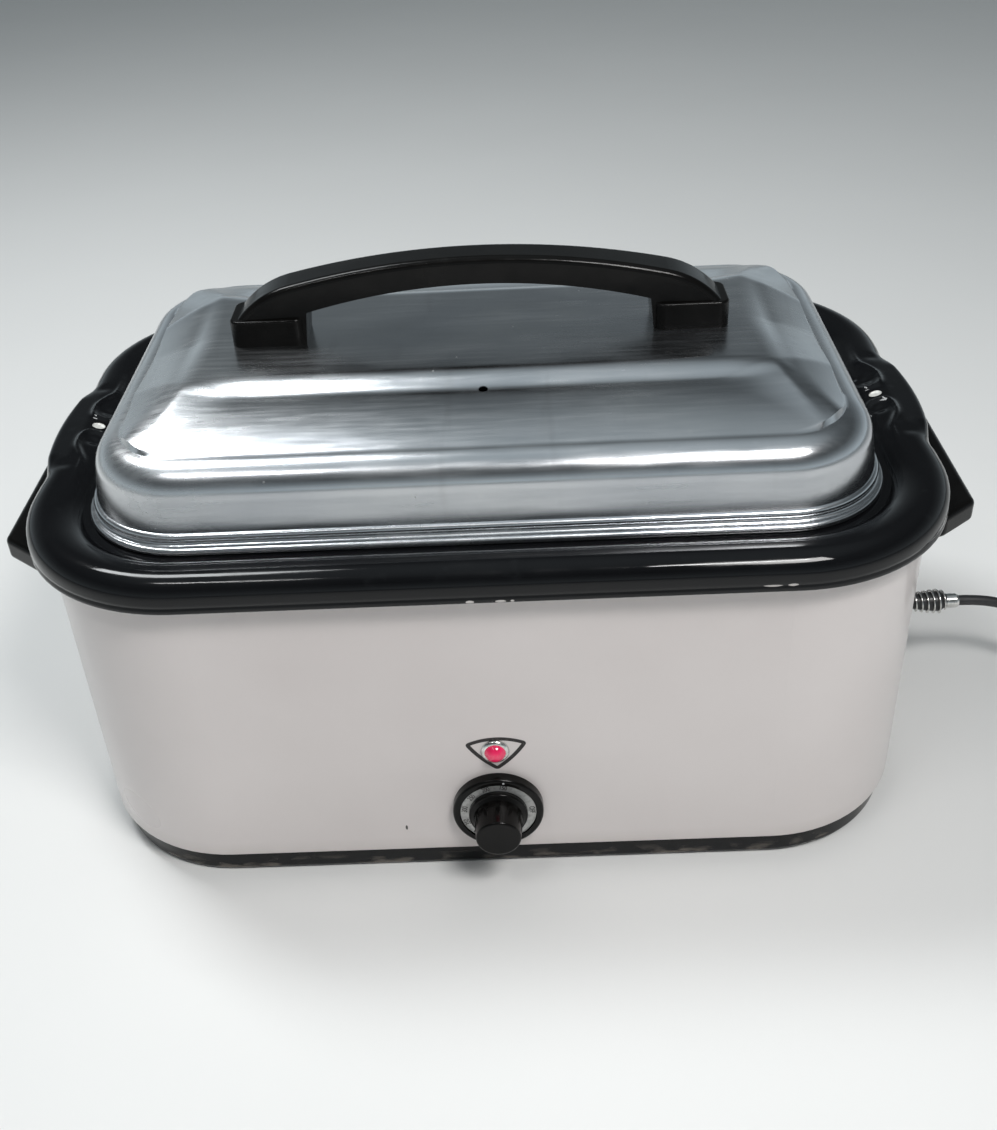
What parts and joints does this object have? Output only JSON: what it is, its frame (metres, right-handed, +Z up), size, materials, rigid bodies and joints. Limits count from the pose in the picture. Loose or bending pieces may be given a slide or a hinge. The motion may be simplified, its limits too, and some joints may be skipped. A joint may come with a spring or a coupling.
{
  "type": "electric roaster oven",
  "caption": "Countertop electric roaster oven with a lift-off aluminium lid, a removable black-rimmed pan, a front dial knob with pilot light, side handles and a detachable cord.",
  "frame": {"origin": "centre of the base pan's flat underside, on the surface the oven stands on, without the free cord", "axes": "+Z up; +X to the right along the oven's length, towards the power inlet; +Y to the back, so the dial is on the -Y side"},
  "size_m": [0.8407, 0.3982, 0.3515],
  "materials": {
    "white_enamel": "gloss",
    "black_enamel": "gloss",
    "lid_aluminium": "brushed and worn",
    "inner_aluminium": "satin",
    "black_bakelite": "gloss",
    "brown_phenolic": "matte",
    "dial_silver": "satin",
    "red_lens": "gloss",
    "lamp_glass": "gloss",
    "bright_metal": "bright",
    "plain_steel": "satin",
    "guard_wire": "bright",
    "brass": "satin",
    "copper": "satin",
    "heater_mica": "matte",
    "glass_fibre": "soft",
    "lead_sleeving": "woven",
    "cord_rubber": "matte",
    "tie_black": "matte"
  },
  "bodies": {
    "housing": {"outer_casing": "white_enamel", "base_pan": "black_enamel", "tie_rods": "plain_steel", "tie_rod_nuts": "plain_steel", "spacer_sleeves": "plain_steel", "heating_well": "inner_aluminium", "side_heater": "heater_mica", "insulation_blanket": "glass_fibre", "floor_heater": "plain_steel", "floor_heater_clips": "plain_steel", "reflector_plate": "inner_aluminium", "thermostat_body": "brown_phenolic", "thermostat_nut": "bright_metal", "dial_bezel": "black_bakelite", "thermostat_bulb": "copper", "bulb_clips": "plain_steel", "capillary_tube": "copper", "lens_bezel": "bright_metal", "jewel_lens": "red_lens", "lens_push_nut": "plain_steel", "lamp_holder": "plain_steel", "pilot_lamp": "lamp_glass", "right_side_handle": "black_bakelite", "left_side_handle": "black_bakelite", "side_handle_bolts": "plain_steel", "side_handle_nuts": "plain_steel", "inlet_socket": "black_bakelite", "inlet_pins": "bright_metal", "supply_leads": "lead_sleeving", "heater_leads": "lead_sleeving"},
    "inset_pan_body": {"inset_pan": "black_enamel"},
    "lid": {"lid_shell": "lid_aluminium", "lid_handle": "black_bakelite", "lid_handle_screws": "plain_steel", "lid_handle_washers": "plain_steel"},
    "control": {"number_ring": "dial_silver", "control_knob": "black_bakelite", "control_shaft": "plain_steel", "knob_grub_screw": "plain_steel"},
    "cord_set": {"appliance_plug_upper": "black_bakelite", "appliance_plug_lower": "black_bakelite", "plug_contacts": "brass", "plug_screws": "plain_steel", "spring_guard": "guard_wire", "guard_ferrule": "bright_metal", "power_cord": "cord_rubber", "cord_coil": "cord_rubber", "cord_tail": "cord_rubber", "cord_tie": "tie_black", "wall_plug": "cord_rubber", "wall_plug_blades": "brass"}
  },
  "joints": [
    {"name": "pan_lift", "type": "slide", "parent": "housing", "child": "inset_pan_body", "axis": [0, 0, 1], "range_m": [0, 0.2]},
    {"name": "lid_lift", "type": "slide", "parent": "inset_pan_body", "child": "lid", "axis": [0, 0, 1], "range_m": [0, 0.2]},
    {"name": "knob_turn", "type": "hinge", "parent": "housing", "child": "control", "pos_m": [0, -0.19, 0.055], "axis": [0, 1, 0], "range_deg": [-85, 215]},
    {"name": "plug_pull", "type": "slide", "parent": "housing", "child": "cord_set", "axis": [1, 0, 0], "range_m": [0, 0.03]}
  ]
}
